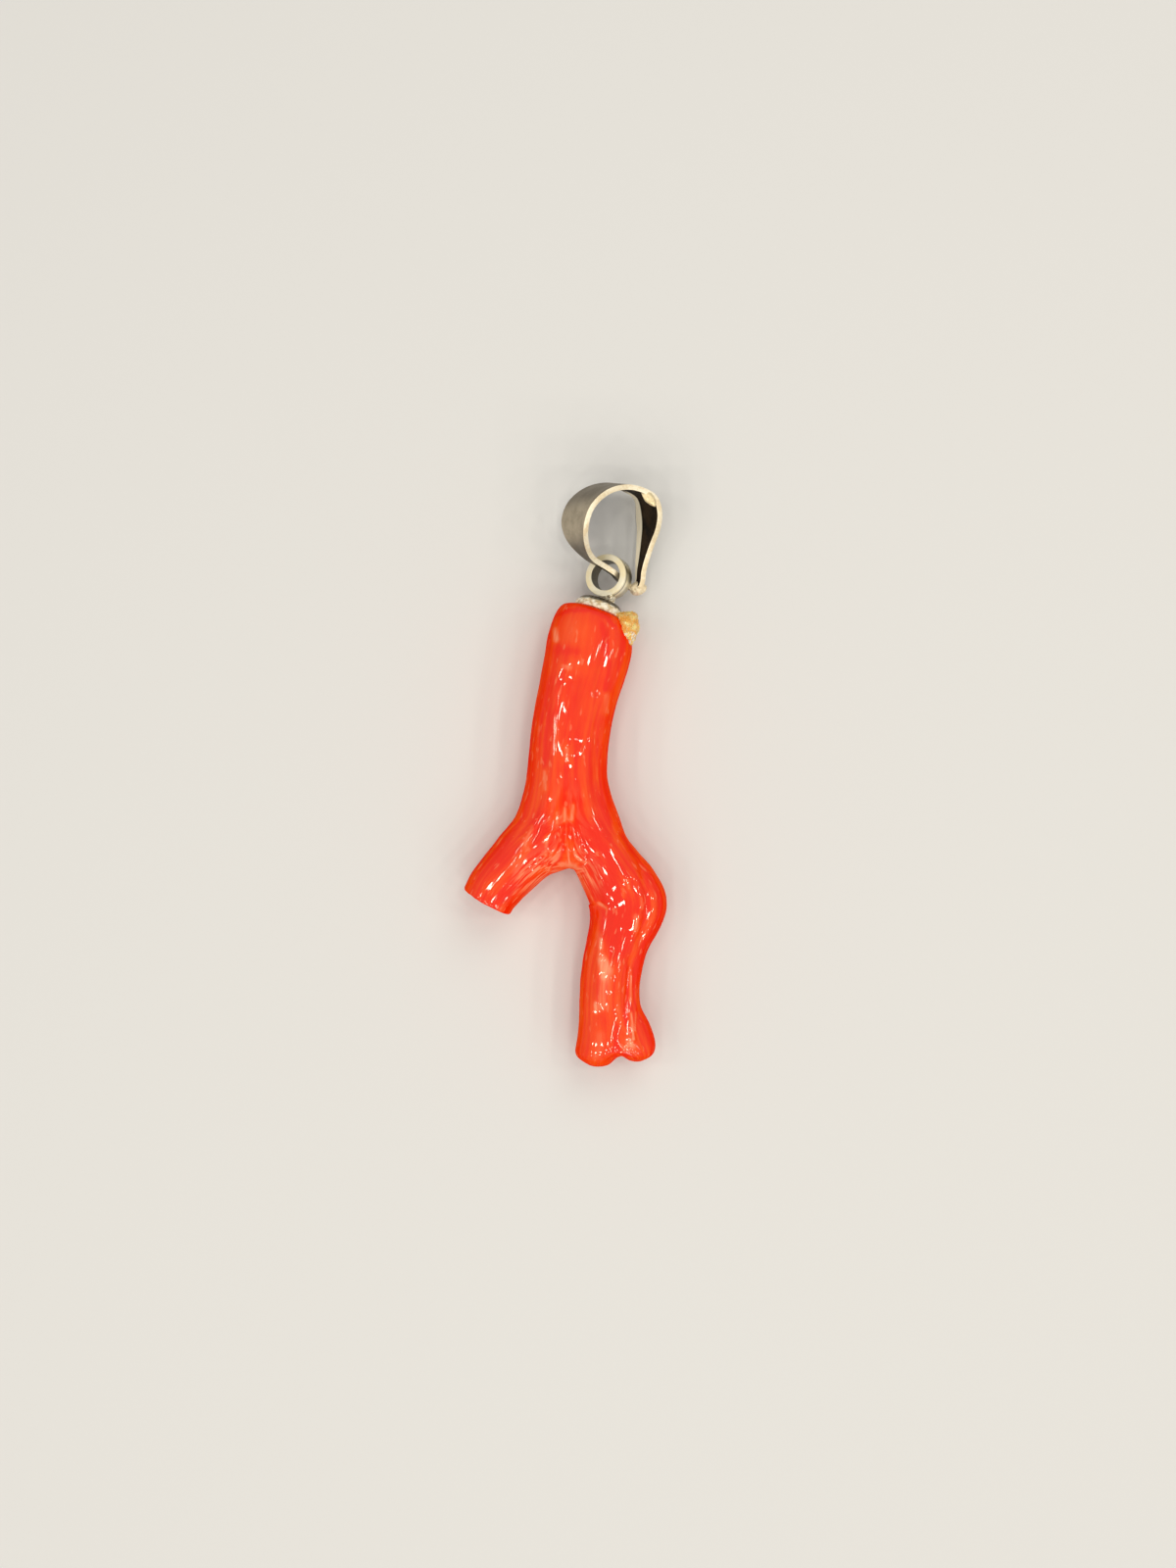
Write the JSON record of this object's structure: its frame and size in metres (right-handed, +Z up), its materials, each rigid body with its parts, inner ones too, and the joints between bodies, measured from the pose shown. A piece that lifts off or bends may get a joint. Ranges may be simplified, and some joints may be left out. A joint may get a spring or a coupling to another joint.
{
  "type": "red coral branch pendant",
  "caption": "Forked red coral branch worn as a pendant, lying flat, with polished cut ends, a domed cap and eyelet on the thick end, and a folded strip bail that swings in the eyelet.",
  "frame": {"origin": "middle of the footprint, on the surface that the branch rests on", "axes": "+Y up the branch towards the bail, +X towards the side that the lower branch bends to, +Z up from the resting surface"},
  "size_m": [0.018, 0.0518, 0.0073],
  "materials": {
    "coral": "gloss",
    "silver": "polished",
    "bail_silver": "satin",
    "glue": "satin"
  },
  "bodies": {
    "pendant": {"coral_trunk": "coral", "coral_side_branch": "coral", "coral_lower_branch": "coral", "coral_left_tip": "coral", "coral_right_tip": "coral", "cap": "silver", "eyelet": "silver", "glue_bead": "glue"},
    "bail": {"bail": "bail_silver"}
  },
  "joints": [
    {"name": "bail_swing", "type": "hinge", "parent": "pendant", "child": "bail", "pos_m": [0.00377, 0.0176, 0.0021], "axis": [-0.381, 0.125, 0.9161], "range_deg": [-70, 65]}
  ]
}
